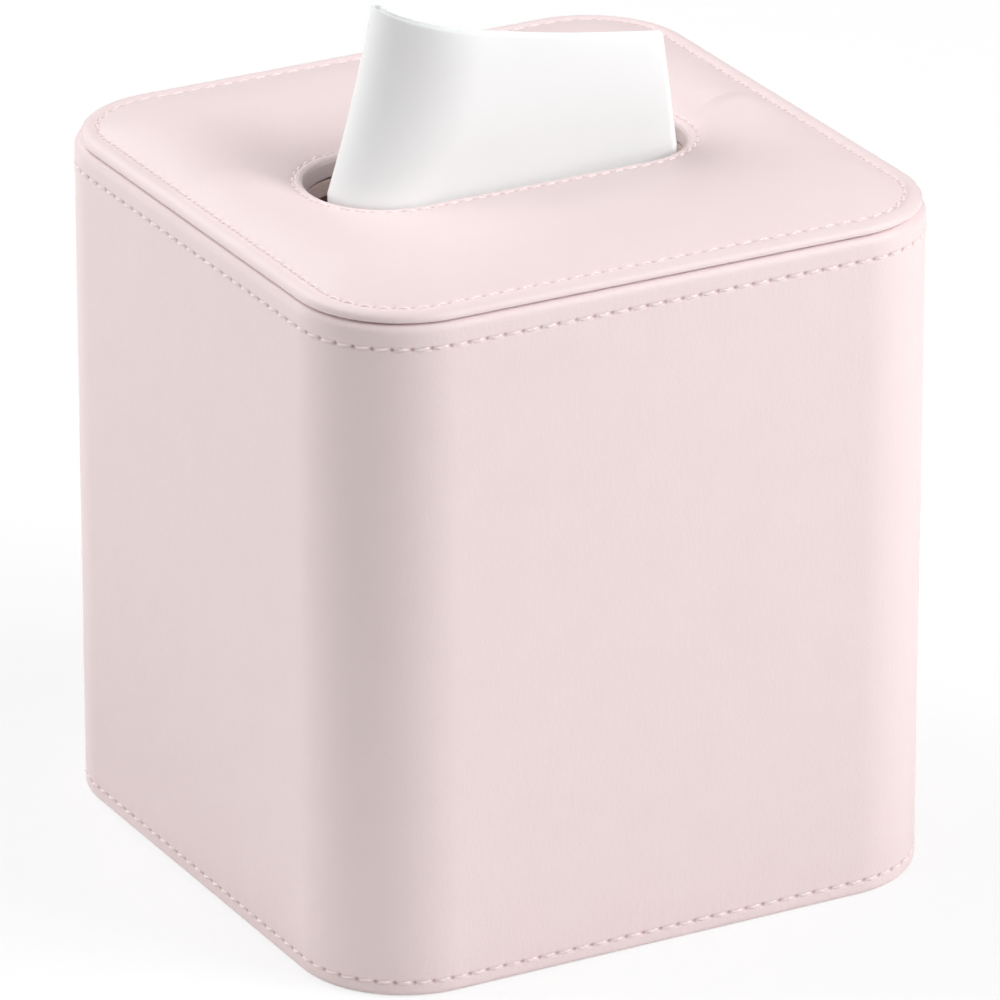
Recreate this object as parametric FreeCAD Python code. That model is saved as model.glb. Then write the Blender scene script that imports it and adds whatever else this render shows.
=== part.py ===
import FreeCAD, Part
import math
import os

from FreeCAD import Vector

# A square tissue box cover: a rounded board tube wrapped in soft leather, a padded top
# panel with an oval opening, a flap that closes the bottom, and the tissue.
# Origin at the middle of the base, on the table. +Z up, -Y the front, lengths in mm.

# Overall size
cover_width = 130.0
cover_depth = 130.0
wall_height = 135.0
wall_corner_radius = 21.7

# Wall: one bent board, wrapped in leather that turns in over both rims
leather_thickness = 0.8
wall_board_thickness = 2.5
wall_lining_thickness = 0.5
turn_in_width = 12.0
top_rim_radius = 1.3
base_rim_radius = 1.0
back_joint_width = 0.4
back_joint_depth = 0.5

# Ceiling: the board that closes the tube under the padded panel
ceiling_board_thickness = 3.0
ceiling_lining_thickness = 0.5
ceiling_clearance = 0.1

# Padded top panel
panel_inset = 0.6
panel_corner_radius = 18.4
panel_leather_thickness = 0.5
panel_under_thickness = 0.4
panel_under_width = 10.0
panel_board_thickness = 0.8
panel_board_setback = 3.0
panel_stitch_inset = 3.9
panel_stitch_height = 1.8
panel_roll_height = 2.15
panel_roll_width = 0.6
crown_height = 3.15
crown_fullness = 0.62
foam_edge_share = 0.03

# Oval opening
opening_length = 80.0
opening_width = 30.0
opening_end_flat = 0.4
opening_stitch_inset = 2.0
opening_stitch_height = 1.75
opening_lip_height = 0.15
trim_thickness = 0.6
trim_lap = 1.9
trim_gap = 0.4

# Bottom flap, whose leather folds at the back about its outer face
flap_gap = 0.6
flap_floor_clearance = 0.6
flap_board_thickness = 2.0
flap_lining_thickness = 0.5
flap_turn_width = 10.0
hinge_gap = 0.3
hinge_strip_thickness = 0.8
hinge_strip_height = 12.5
hinge_end_margin = 1.3
pull_tab_length = 22.0
pull_tab_width = 16.0
pull_tab_thickness = 0.4

# Ledge inside the front wall, and the bar magnets that hold the flap up
ledge_end_margin = 5.3
ledge_depth = 4.5
ledge_height = 4.0
ledge_clearance = 0.3
magnet_length = 12.0
magnet_width = 3.0
magnet_thickness = 1.5
magnet_end_margin = 6.0
magnet_skin = 0.3
magnet_margin = 1.0
magnet_clearance = 0.05

# Stitching
thread_diameter = 0.6
thread_clearance = 0.06
groove_width = 1.0
groove_depth = 0.5
wall_stitch_pitch = 3.7
panel_stitch_pitch = 3.6
opening_stitch_pitch = 3.0
stitch_length_share = 0.72
stitch_taper_share = 0.2
stitch_end_share = 0.45
top_stitch_drop = 4.7
base_stitch_rise = 2.9
back_stitch_offset = 3.0
flap_stitch_inset = 3.5

# Tissue: a sheet folded double, its fold curling round the left end of the opening
tissue_thickness = 0.6
tissue_fold_gap = 1.5
tissue_clearance = 0.3
tissue_turn = 3.5
tissue_bend = 75.0
tissue_right_run = 8.4
tissue_top_right_reach = 30.5
tissue_top_bend_reach = 19.0
tissue_top_setback = 4.2
tissue_top_bend_radius = 9.0
tissue_left_rise = 38.0
tissue_middle_rise = 28.0
tissue_right_rise = 20.4
tissue_tail_lift = 0.3

# Cuts run past their piece by this, and edges within the second length of a height lie at it
cut_overrun = 5.0
same_height = 0.01

# Shares along the panel's crown, from its outer stitch channel to the one round the opening
crown_shares = [0.0, 0.03, 0.08, 0.15, 0.25, 0.37, 0.5, 0.63, 0.75, 0.85, 0.92, 0.97, 1.0]
# Shares of the rolled edge's width and height, from the seam up to its crest
roll_width_shares = [0.04, 0.0, 0.05, 0.18, 0.45, 0.85]
roll_height_shares = [0.0, 0.2, 0.42, 0.58, 0.72, 1.0]
# Shares of the way from the stitch line round the opening to the opening itself
lip_shares = [0.35, 0.75]

os.makedirs("parts", exist_ok=True)


def save(shape, name):
    """Writes one sub-part and prints what it holds."""
    shape.exportStep("parts/" + name + ".step")
    print(name, "solids", len(shape.Solids), "valid", shape.isValid(), "volume", round(shape.Volume, 1))


# A loop is a rounded rectangle: half length, half width, corner radius, and its middle along Y
def loop(half_x, half_y, radius, middle_y=0.0):
    return (half_x, half_y, radius, middle_y)


def inset(outline, amount):
    half_x, half_y, radius, middle_y = outline
    return loop(half_x - amount, half_y - amount, radius - amount, middle_y)


def between(first, last, share):
    return tuple(a + (b - a) * share for a, b in zip(first, last))


def loop_edges(outline, height):
    """Four quarter arcs and four straight sides, counterclockwise from the front right."""
    half_x, half_y, radius, middle_y = outline
    diagonal = radius * math.sqrt(0.5)
    edges = []
    corners = [(1, -1, 270), (1, 1, 0), (-1, 1, 90), (-1, -1, 180)]
    arcs = []
    for side_x, side_y, start in corners:
        centre = Vector(side_x * (half_x - radius), middle_y + side_y * (half_y - radius), height)
        points = [
            centre + Vector(radius * math.cos(math.radians(turn)), radius * math.sin(math.radians(turn)), 0)
            for turn in (start, start + 90)
        ]
        crest = centre + Vector(side_x * diagonal, side_y * diagonal, 0)
        arcs.append((points[0], crest, points[1]))
    for arc, following in zip(arcs, arcs[1:] + arcs[:1]):
        edges.append(Part.Arc(*arc).toShape())
        edges.append(Part.LineSegment(arc[2], following[0]).toShape())
    return edges


def prism(outline, low, high):
    face = Part.Face(Part.Wire(loop_edges(outline, low)))
    return face.extrude(Vector(0, 0, high - low))


def ring(outer, inner, low, high):
    return prism(outer, low, high).cut(prism(inner, low - cut_overrun, high + cut_overrun))


def block(length, width, height, centre):
    corner = centre - Vector(length / 2, width / 2, height / 2)
    return Part.makeBox(length, width, height, corner)


def closed_ring(sections):
    """A ring with the cross-section that the sections, each a loop and a height, go once round."""
    rows = [loop_edges(outline, height) for outline, height in sections]
    faces = []
    for row, following in zip(rows, rows[1:] + rows[:1]):
        faces += [Part.makeRuledSurface(a, b) for a, b in zip(row, following)]
    shell = Part.makeShell(faces)
    shell.sewShape()
    solid = Part.Solid(shell)
    if solid.Volume < 0:
        solid.reverse()
    return solid


# Loops and heights that several pieces share
wall_face = loop(cover_width / 2, cover_depth / 2, wall_corner_radius)
board_outside = inset(wall_face, leather_thickness)
board_inside = inset(board_outside, wall_board_thickness)
lining_inside = inset(board_inside, wall_lining_thickness)
wall_inside = inset(board_inside, leather_thickness)
turn_in_low = leather_thickness + turn_in_width
turn_in_high = wall_height - leather_thickness - turn_in_width
flat_run = 2 * (wall_inside[0] - wall_inside[2])

panel_face = loop(cover_width / 2 - panel_inset, cover_depth / 2 - panel_inset, panel_corner_radius)
panel_stitch_loop = inset(panel_face, panel_stitch_inset)
opening = loop(opening_length / 2, opening_width / 2, (opening_width - opening_end_flat) / 2)
opening_stitch_loop = inset(opening, -opening_stitch_inset)
trim_outside = inset(opening, -trim_thickness)
panel_board_low = wall_height + panel_under_thickness
panel_board_high = panel_board_low + panel_board_thickness
panel_stitch_z = wall_height + panel_stitch_height
opening_stitch_z = wall_height + opening_stitch_height
ceiling_low = wall_height - ceiling_board_thickness
ceiling_underside = ceiling_low - ceiling_lining_thickness
trim_low = wall_height - trim_lap

flap_top = (
    flap_floor_clearance + leather_thickness + flap_board_thickness + flap_lining_thickness
)
hinge_y = wall_inside[1] - hinge_strip_thickness + hinge_gap / 2
hinge_z = flap_floor_clearance
print("hinge axis at y", round(hinge_y, 3), "z", round(hinge_z, 3))
print("cavity from", round(flap_top, 3), "to", round(ceiling_underside, 3))


# Stitches
def loop_points(outline, pitch):
    """Places and headings, evenly spaced along a loop."""
    half_x, half_y, radius, middle_y = outline
    across, along = 2 * (half_x - radius), 2 * (half_y - radius)
    quarter = radius * math.pi / 2
    total = 2 * across + 2 * along + 4 * quarter
    count = round(total / pitch)
    places = []
    for i in range(count):
        left = i * total / count
        corner_x, corner_y = half_x - radius, -(half_y - radius)
        for side, length in enumerate((along, across, along, across)):
            heading = 90.0 * (side + 1)
            direction = Vector(math.cos(math.radians(heading)), math.sin(math.radians(heading)), 0)
            outward = Vector(direction.y, -direction.x, 0)
            corner = Vector(corner_x, corner_y, 0)
            if left <= length:
                places.append((corner + outward * radius + direction * left, heading))
                break
            left -= length
            corner = corner + direction * length
            corner_x, corner_y = corner.x, corner.y
            if left <= quarter:
                turn = math.degrees(left / radius)
                swing = math.radians(heading - 90.0 + turn)
                places.append((corner + Vector(math.cos(swing), math.sin(swing), 0) * radius, heading + turn))
                break
            left -= quarter
    return [(place + Vector(0, middle_y, 0), heading) for place, heading in places]


def stitch(pitch):
    """One thread segment along X, thinner at the ends where it dives into its holes."""
    length, radius = pitch * stitch_length_share, thread_diameter / 2
    taper, tip = length * stitch_taper_share, radius * stitch_end_share
    half = length / 2
    profile = Part.makePolygon(
        [
            Vector(-half, 0, 0),
            Vector(-half, 0, tip),
            Vector(taper - half, 0, radius),
            Vector(half - taper, 0, radius),
            Vector(half, 0, tip),
            Vector(half, 0, 0),
            Vector(-half, 0, 0),
        ]
    )
    return Part.Face(profile).revolve(Vector(0, 0, 0), Vector(1, 0, 0), 360)


def stitch_row(outline, pitch, height):
    one = stitch(pitch)
    row = []
    for place, heading in loop_points(outline, pitch):
        placed = one.copy()
        placed.Placement = FreeCAD.Placement(
            place + Vector(0, 0, height), FreeCAD.Rotation(Vector(0, 0, 1), heading)
        )
        row.append(placed)
    return Part.makeCompound(row)


def groove(height):
    """The ring that a row of wall stitches sinks into."""
    low, high = height - groove_width / 2, height + groove_width / 2
    return ring(inset(wall_face, -cut_overrun), inset(wall_face, groove_depth), low, high)


thread_lift = thread_diameter / 2 + thread_clearance
wall_stitch_loop = inset(wall_face, groove_depth - thread_lift)
top_stitch_z = wall_height - top_stitch_drop


# Wall
def wall_leather():
    outside = prism(wall_face, 0, wall_height)
    top_edges = [e for e in outside.Edges if e.BoundBox.ZMin > wall_height - same_height]
    outside = outside.makeFillet(top_rim_radius, top_edges)
    base_edges = [e for e in outside.Edges if e.BoundBox.ZMax < same_height]
    outside = outside.makeFillet(base_rim_radius, base_edges)
    skin = outside.cut(prism(wall_inside, -cut_overrun, wall_height + cut_overrun))
    skin = skin.cut(ring(board_outside, board_inside, leather_thickness, wall_height - leather_thickness))
    skin = skin.cut(prism(board_inside, turn_in_low, turn_in_high))
    skin = skin.cut(groove(top_stitch_z)).cut(groove(base_stitch_rise))
    joint_height = top_stitch_z - base_stitch_rise
    joint_middle = Vector(0, cover_depth / 2, base_stitch_rise + joint_height / 2)
    joint = block(back_joint_width, 2 * back_joint_depth, joint_height, joint_middle)
    row_middle = joint_middle + Vector(back_stitch_offset, 0, 0)
    row = block(groove_width, 2 * groove_depth, joint_height, row_middle)
    return skin.cut(joint).cut(row)


def back_seam_thread():
    one = stitch(wall_stitch_pitch)
    run = top_stitch_z - base_stitch_rise - 2 * wall_stitch_pitch
    count = round(run / wall_stitch_pitch)
    depth = wall_stitch_loop[1]
    row = []
    for i in range(count + 1):
        height = base_stitch_rise + wall_stitch_pitch + i * run / count
        placed = one.copy()
        placed.Placement = FreeCAD.Placement(
            Vector(back_stitch_offset, depth, height), FreeCAD.Rotation(Vector(0, 1, 0), 90)
        )
        row.append(placed)
    return Part.makeCompound(row)


save(ring(board_outside, board_inside, leather_thickness, wall_height - leather_thickness), "wall_board")
save(wall_leather(), "wall_leather")
save(ring(board_inside, lining_inside, turn_in_low, turn_in_high), "wall_lining")
save(stitch_row(wall_stitch_loop, wall_stitch_pitch, top_stitch_z), "wall_top_stitches")
save(stitch_row(wall_stitch_loop, wall_stitch_pitch, base_stitch_rise), "wall_base_stitches")
save(back_seam_thread(), "back_seam_stitches")

# Ceiling
ceiling_outside = inset(wall_inside, ceiling_clearance)
ceiling_lining = ring(ceiling_outside, opening, ceiling_underside, ceiling_low).fuse(
    ring(trim_outside, opening, ceiling_underside, trim_low - trim_gap)
)
save(ring(ceiling_outside, trim_outside, ceiling_low, wall_height), "ceiling_board")
save(ceiling_lining.removeSplitter(), "ceiling_lining")
save(ring(trim_outside, opening, trim_low, panel_board_high), "opening_trim")


# Padded panel: each stitch line lies in a flat channel, just wider than its thread
crown_outside = inset(panel_stitch_loop, thread_lift)
crown_inside = inset(opening_stitch_loop, -thread_lift)


def crown_section(share):
    """The leather's upper face on the crowned stretch between the two stitch channels."""
    outline = between(crown_outside, crown_inside, share)
    base = panel_stitch_z + (opening_stitch_z - panel_stitch_z) * share
    rise = crown_height * (1 - (2 * share - 1) ** 2) ** crown_fullness
    return outline, base + rise


def lowered(section):
    return section[0], section[1] - panel_leather_thickness


foam_shares = [s for s in crown_shares if foam_edge_share <= s <= 1 - foam_edge_share]
foam_top = [lowered(crown_section(s)) for s in foam_shares]
foam_outside, foam_inside = foam_top[0][0], foam_top[-1][0]
board_edge = inset(panel_face, panel_board_setback)
under_edge = inset(panel_face, panel_under_width)

rolled_edge = [
    (
        inset(panel_face, w * (panel_stitch_inset - panel_roll_width)),
        wall_height + h * panel_roll_height,
    )
    for w, h in zip(roll_width_shares, roll_height_shares)
]
rolled_edge.append((inset(panel_stitch_loop, -panel_roll_width), wall_height + panel_roll_height))
rolled_edge.append((inset(panel_stitch_loop, -thread_lift), panel_stitch_z))
lip_z = opening_stitch_z + opening_lip_height
opening_lip = [
    (inset(opening_stitch_loop, thread_lift), opening_stitch_z),
    (between(opening_stitch_loop, opening, lip_shares[0]), lip_z),
    (between(opening_stitch_loop, opening, lip_shares[1]), (lip_z + opening_stitch_z) / 2),
    (opening, (opening_stitch_z + panel_board_high) / 2),
]
underside = [(opening, panel_board_high), (foam_inside, panel_board_high)]
underside += foam_top[::-1]
underside += [
    (foam_outside, panel_board_high),
    (board_edge, panel_board_high),
    (board_edge, panel_board_low),
    (under_edge, panel_board_low),
    (under_edge, wall_height),
]
crown = [crown_section(s) for s in crown_shares]
save(closed_ring(rolled_edge + crown + opening_lip + underside), "panel_leather")
foam = [(foam_inside, panel_board_high), (foam_outside, panel_board_high)]
save(closed_ring(foam + foam_top), "panel_foam")
save(ring(board_edge, trim_outside, panel_board_low, panel_board_high), "panel_board")

save(stitch_row(panel_stitch_loop, panel_stitch_pitch, panel_stitch_z + thread_lift), "panel_stitches")
opening_row = stitch_row(opening_stitch_loop, opening_stitch_pitch, opening_stitch_z + thread_lift)
save(opening_row, "opening_stitches")

# Bottom flap
flap_rear = hinge_y - hinge_gap
flap_front = wall_inside[1] - flap_gap
flap_face = loop(
    wall_inside[0] - flap_gap,
    (flap_front + flap_rear) / 2,
    wall_inside[2] - flap_gap,
    (flap_rear - flap_front) / 2,
)
flap_board_face = inset(flap_face, leather_thickness)
flap_board_low = flap_floor_clearance + leather_thickness
flap_board_high = flap_board_low + flap_board_thickness
flap_lining_face = inset(flap_board_face, flap_turn_width)

hinge_strip_length = flat_run - 2 * hinge_end_margin
ledge_length = flat_run - 2 * ledge_end_margin
magnet_spacing = ledge_length - 2 * magnet_end_margin - magnet_length
ledge_y = ledge_depth / 2 - wall_inside[1]
flap_magnet_y = leather_thickness + magnet_margin + magnet_width / 2 - flap_front
ledge_low = flap_top + ledge_clearance
ledge_magnet_z = ledge_low + magnet_skin + magnet_thickness / 2
flap_magnet_z = flap_board_high - magnet_skin - magnet_thickness / 2


def magnets(middle_y, height, growth):
    size = (magnet_length + growth, magnet_width + growth, magnet_thickness + growth)
    places = [Vector(side * magnet_spacing / 2, middle_y, height) for side in (-1, 1)]
    return Part.makeCompound([block(*size, place) for place in places])


def flap_leather():
    skin = prism(flap_face, flap_floor_clearance, flap_top)
    skin = skin.cut(prism(flap_board_face, flap_board_low, flap_board_high))
    skin = skin.cut(prism(flap_lining_face, flap_board_high, flap_top + cut_overrun))
    low = flap_floor_clearance - cut_overrun
    row = inset(flap_face, flap_stitch_inset)
    outer, inner = inset(row, -groove_width / 2), inset(row, groove_width / 2)
    return skin.cut(ring(outer, inner, low, flap_floor_clearance + groove_depth))


def hinge_strip():
    low = flap_board_low + hinge_gap
    height = hinge_strip_height - hinge_gap
    middle = Vector(0, wall_inside[1] - hinge_strip_thickness / 2, low + height / 2)
    return block(hinge_strip_length, hinge_strip_thickness, height, middle)


def pull_tab():
    middle = Vector(
        0,
        pull_tab_length / 2 + flap_stitch_inset + groove_width - flap_front,
        flap_floor_clearance - pull_tab_thickness / 2,
    )
    return block(pull_tab_width, pull_tab_length, pull_tab_thickness, middle)


flap_board = prism(flap_board_face, flap_board_low, flap_board_high)
save(flap_board.cut(magnets(flap_magnet_y, flap_magnet_z, 2 * magnet_clearance)), "flap_board")
save(flap_leather(), "flap_leather")
save(prism(flap_lining_face, flap_board_high, flap_top), "flap_lining")
flap_stitch_loop = inset(flap_face, flap_stitch_inset)
flap_stitch_z = flap_floor_clearance + groove_depth - thread_lift
save(stitch_row(flap_stitch_loop, wall_stitch_pitch, flap_stitch_z), "flap_stitches")
save(magnets(flap_magnet_y, flap_magnet_z, 0), "flap_magnets")
save(pull_tab(), "pull_tab")
save(hinge_strip(), "hinge_strip")

# Front ledge
ledge = block(ledge_length, ledge_depth, ledge_height, Vector(0, ledge_y, ledge_low + ledge_height / 2))
save(ledge.cut(magnets(ledge_y, ledge_magnet_z, 2 * magnet_clearance)), "front_ledge")
save(magnets(ledge_y, ledge_magnet_z, 0), "ledge_magnets")


# Tissue
def turned(point, origin, angle):
    """A place given from the start of the bend, with the sheet's own slight turn."""
    swing = math.radians(angle)
    along = point[0] * math.cos(swing) - point[1] * math.sin(swing)
    across = point[0] * math.sin(swing) + point[1] * math.cos(swing)
    return origin + Vector(along, across, 0)


def tissue_wire(bend_start, reach, radius, height):
    """The folded sheet in plan: the front layer, its bend, the tight fold and the back layer."""
    full = 2 * tissue_thickness + tissue_fold_gap
    origin = Vector(bend_start[0], bend_start[1], height)
    ends = reach - bend_start[0]

    def place(distance, angle):
        swing = math.radians(angle)
        return turned(
            (-distance * math.sin(swing), radius - distance * math.cos(swing)), origin, tissue_turn
        )

    def bend(distance, forwards):
        angles = [0, tissue_bend / 2, tissue_bend]
        return Part.Arc(*[place(distance, a) for a in (angles if forwards else angles[::-1])]).toShape()

    def fold(width, forwards):
        """Half a turn round the end of the bend, as two quarter arcs."""
        swing = math.radians(tissue_bend)
        middle = (-(radius - full / 2) * math.sin(swing), radius - (radius - full / 2) * math.cos(swing))
        points = []
        for step in range(5):
            angle = swing + math.radians(step * 45)
            tip = (middle[0] - width / 2 * math.sin(angle), middle[1] - width / 2 * math.cos(angle))
            points.append(turned(tip, origin, tissue_turn))
        if not forwards:
            points = points[::-1]
        return [Part.Arc(*points[:3]).toShape(), Part.Arc(*points[2:]).toShape()]

    def straight(first, last):
        ends_placed = [turned(point, origin, tissue_turn) for point in (first, last)]
        return Part.LineSegment(*ends_placed).toShape()

    back_low = tissue_thickness + tissue_fold_gap
    edges = [straight((ends, 0), (0, 0)), bend(radius, True)]
    edges += fold(full, True)
    edges += [bend(radius - full, False), straight((0, full), (ends, full))]
    edges += [straight((ends, full), (ends, back_low)), straight((ends, back_low), (0, back_low))]
    edges += [bend(radius - back_low, True)]
    edges += fold(tissue_fold_gap, False)
    edges += [
        bend(radius - tissue_thickness, False),
        straight((0, tissue_thickness), (ends, tissue_thickness)),
        straight((ends, tissue_thickness), (ends, 0)),
    ]
    return Part.Wire(edges)


def tissue_sheet():
    room = opening[2] - tissue_clearance
    rim_z = panel_stitch_z
    crest_z = rim_z + tissue_left_rise + cut_overrun
    swing = math.radians(tissue_turn)
    start = (opening[2] - opening[0] + room * math.sin(swing), -room * math.cos(swing))
    reach = opening[0] - opening[2] + tissue_right_run
    start_top = (-tissue_top_bend_reach, tissue_top_setback - room)
    sheet = Part.makeLoft(
        [
            tissue_wire(start, reach, room, ceiling_underside + tissue_tail_lift),
            tissue_wire(start, reach, room, rim_z),
            tissue_wire(start_top, tissue_top_right_reach, tissue_top_bend_radius, crest_z),
        ],
        True,
        True,
    )
    side = opening[0]
    left = Vector(-side, -side, rim_z + tissue_left_rise)
    middle = Vector(0, -side, rim_z + tissue_middle_rise)
    right = Vector(side, -side, rim_z + tissue_right_rise)
    high = Vector(0, 0, 2 * crest_z)
    edges = [
        Part.Arc(left, middle, right).toShape(),
        Part.LineSegment(right, right + high).toShape(),
        Part.LineSegment(right + high, left + high).toShape(),
        Part.LineSegment(left + high, left).toShape(),
    ]
    cutter = Part.Face(Part.Wire(edges)).extrude(Vector(0, 2 * side, 0))
    return sheet.cut(cutter)


save(tissue_sheet(), "tissue_sheet")
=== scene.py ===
import math

import bpy
import numpy as np
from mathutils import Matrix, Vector


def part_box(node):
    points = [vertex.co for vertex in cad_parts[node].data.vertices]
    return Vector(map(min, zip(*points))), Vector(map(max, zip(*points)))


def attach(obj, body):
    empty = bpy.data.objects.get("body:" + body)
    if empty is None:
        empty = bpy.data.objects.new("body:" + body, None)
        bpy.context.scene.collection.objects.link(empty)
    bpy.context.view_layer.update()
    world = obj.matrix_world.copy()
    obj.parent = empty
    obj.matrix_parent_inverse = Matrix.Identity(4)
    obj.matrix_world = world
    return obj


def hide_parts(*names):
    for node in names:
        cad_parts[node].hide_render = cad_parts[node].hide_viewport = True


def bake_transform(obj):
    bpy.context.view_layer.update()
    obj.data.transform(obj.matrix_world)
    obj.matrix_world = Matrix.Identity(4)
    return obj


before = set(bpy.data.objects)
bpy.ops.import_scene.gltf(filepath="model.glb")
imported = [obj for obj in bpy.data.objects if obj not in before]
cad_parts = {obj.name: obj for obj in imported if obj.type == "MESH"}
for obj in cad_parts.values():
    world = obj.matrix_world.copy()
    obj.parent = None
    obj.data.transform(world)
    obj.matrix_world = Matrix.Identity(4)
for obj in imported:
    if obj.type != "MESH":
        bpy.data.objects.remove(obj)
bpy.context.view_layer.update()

mm = 0.001


# Small helpers

def linear(hexColour):
    parts = [int(hexColour[i:i + 2], 16) / 255 for i in (1, 3, 5)]
    return tuple(c / 12.92 if c <= 0.04045 else ((c + 0.055) / 1.055) ** 2.4 for c in parts) + (1.0,)


def addNode(tree, kind, settings=None, inputs=None):
    # An input is a value, a socket, or a node that stands for its first output
    node = tree.nodes.new(kind)
    for name, value in (settings or {}).items():
        setattr(node, name, value)
    for name, value in (inputs or {}).items():
        if isinstance(value, bpy.types.Node):
            value = value.outputs[0]
        if isinstance(value, bpy.types.NodeSocket):
            tree.links.new(value, node.inputs[name])
        else:
            node.inputs[name].default_value = value
    return node


def meshObject(name, points, faces=(), edges=(), smooth=True):
    mesh = bpy.data.meshes.new(name)
    mesh.from_pydata([tuple(p) for p in points], list(edges), [tuple(f) for f in faces])
    mesh.update()
    if smooth:
        mesh.shade_smooth()
    made = bpy.data.objects.new(name, mesh)
    bpy.context.scene.collection.objects.link(made)
    return made


def closedGrid(name, rows, capped=False):
    # rows x columns of points, faces outwards. The rows join on themselves, or end in a cap at either end
    rows = np.asarray(rows)
    count, across = rows.shape[:2]
    corner = np.arange(count * across).reshape(count, across)
    right, above = np.roll(corner, -1, 1), np.roll(corner, -1, 0)
    quads = np.stack([corner, right, np.roll(above, -1, 1), above], -1)
    quads = (quads[:-1] if capped else quads).reshape(-1, 4)
    points = rows.reshape(-1, 3)
    a, b, c, d = (points[quads[:, i]] - points.mean(0) for i in range(4))
    faces = quads.tolist() + ([corner[0, ::-1].tolist(), corner[-1].tolist()] if capped else [])
    if np.einsum("ij,ij->", a, np.cross(b - d, c)) < 0:
        faces = [face[::-1] for face in faces]
    return meshObject(name, points.tolist(), faces)


def useMaterial(piece, material):
    piece.data.materials.clear()
    piece.data.materials.append(material)


def finishPiece(piece, node, body, finish):
    useMaterial(piece, finish)
    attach(piece, body)
    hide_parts(node)


# Rounded rectangles, followed by the share of their length from the middle of the right side

def loopPlaces(halfX, halfY, radius, shares, middleY=0.0):
    along, across, quarter = halfY - radius, halfX - radius, radius * math.pi / 2
    side = along + quarter + across
    shares = np.asarray(shares, float) % 1
    which = np.floor(shares * 4).astype(int) % 4
    run = (shares * 4 - np.floor(shares * 4)) * side
    run = np.where(which % 2 == 1, side - run, run)
    turn = np.clip((run - along) / radius, 0, math.pi / 2)
    x = halfX - radius + radius * np.cos(turn) - np.clip(run - along - quarter, 0, None)
    y = np.minimum(run, along) + radius * np.sin(turn)
    signX = np.where((which == 1) | (which == 2), -1, 1)
    signY = np.where(which >= 2, -1, 1)
    places = np.stack([x * signX, y * signY + middleY], -1)
    outwards = np.stack([np.cos(turn) * signX, np.sin(turn) * signY], -1)
    return places, outwards


def loopLength(halfX, halfY, radius):
    return 4 * (halfX + halfY - 2 * radius + radius * math.pi / 2)


def grown(loop, out):
    # A rounded rectangle's half sizes and radius, moved outwards
    return tuple(size + out for size in loop)


def atHeight(places, height):
    return np.column_stack([places, np.full(len(places), height)])


def crowdedShares(stitches, perStitch, crowd, start=0.0):
    # Even columns, drawn together at each needle hole
    steps = np.arange(stitches * perStitch) / (stitches * perStitch)
    return start + steps - crowd * np.sin(2 * math.pi * steps * stitches) / (2 * math.pi * stitches)


def newMaterial(name):
    material = bpy.data.materials.new(name)
    material.use_nodes = True
    material.node_tree.nodes.clear()
    return material, material.node_tree


# Camera, at the photograph's place, and a pale studio

cameraData = {
    "place": (-0.8020, -1.4746, 0.7818),
    "aim": (0.0, 0.0, 0.070),
    "lens": 342.8,
    "shiftX": 0.0037,
    "shiftY": -0.0165,
    "clip": (0.05, 50),
}


def makeCamera():
    lens = bpy.data.cameras.new("camera")
    lens.lens = cameraData["lens"]
    lens.shift_x, lens.shift_y = cameraData["shiftX"], cameraData["shiftY"]
    lens.clip_start, lens.clip_end = cameraData["clip"]
    camera = bpy.data.objects.new("camera", lens)
    camera.location = cameraData["place"]
    back = Vector(cameraData["place"]) - Vector(cameraData["aim"])
    camera.rotation_mode = "QUATERNION"
    camera.rotation_quaternion = (-back).to_track_quat("-Z", "Y")
    bpy.context.scene.collection.objects.link(camera)
    bpy.context.scene.camera = camera


studio = {
    "floorSize": 12.0,
    "cutHalf": 63.6 * mm,
    "cutRadius": 20.2 * mm,
    "floorColumns": 96,
    "floorColour": "#f3f3f3",
    "floorClear": 0.72,
    "worldLevel": 0.15,
    "seenLevel": 1.0,
    "lampSize": 1.0,
    "lampDistance": 1.5,
    "lampAim": (0, 0, 0.08),
    # Each softbox: azimuth from the front towards the right, height angle, power
    "rightHigh": (45, 35, 19.3),
    "backLow": (-132, 9, 7.3),
    "backHigh": (-165, 35, 10.5),
    "leftOverhead": (-105, 60, 6.9),
    "frontOverhead": (15, 60, 2.2),
}


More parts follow.
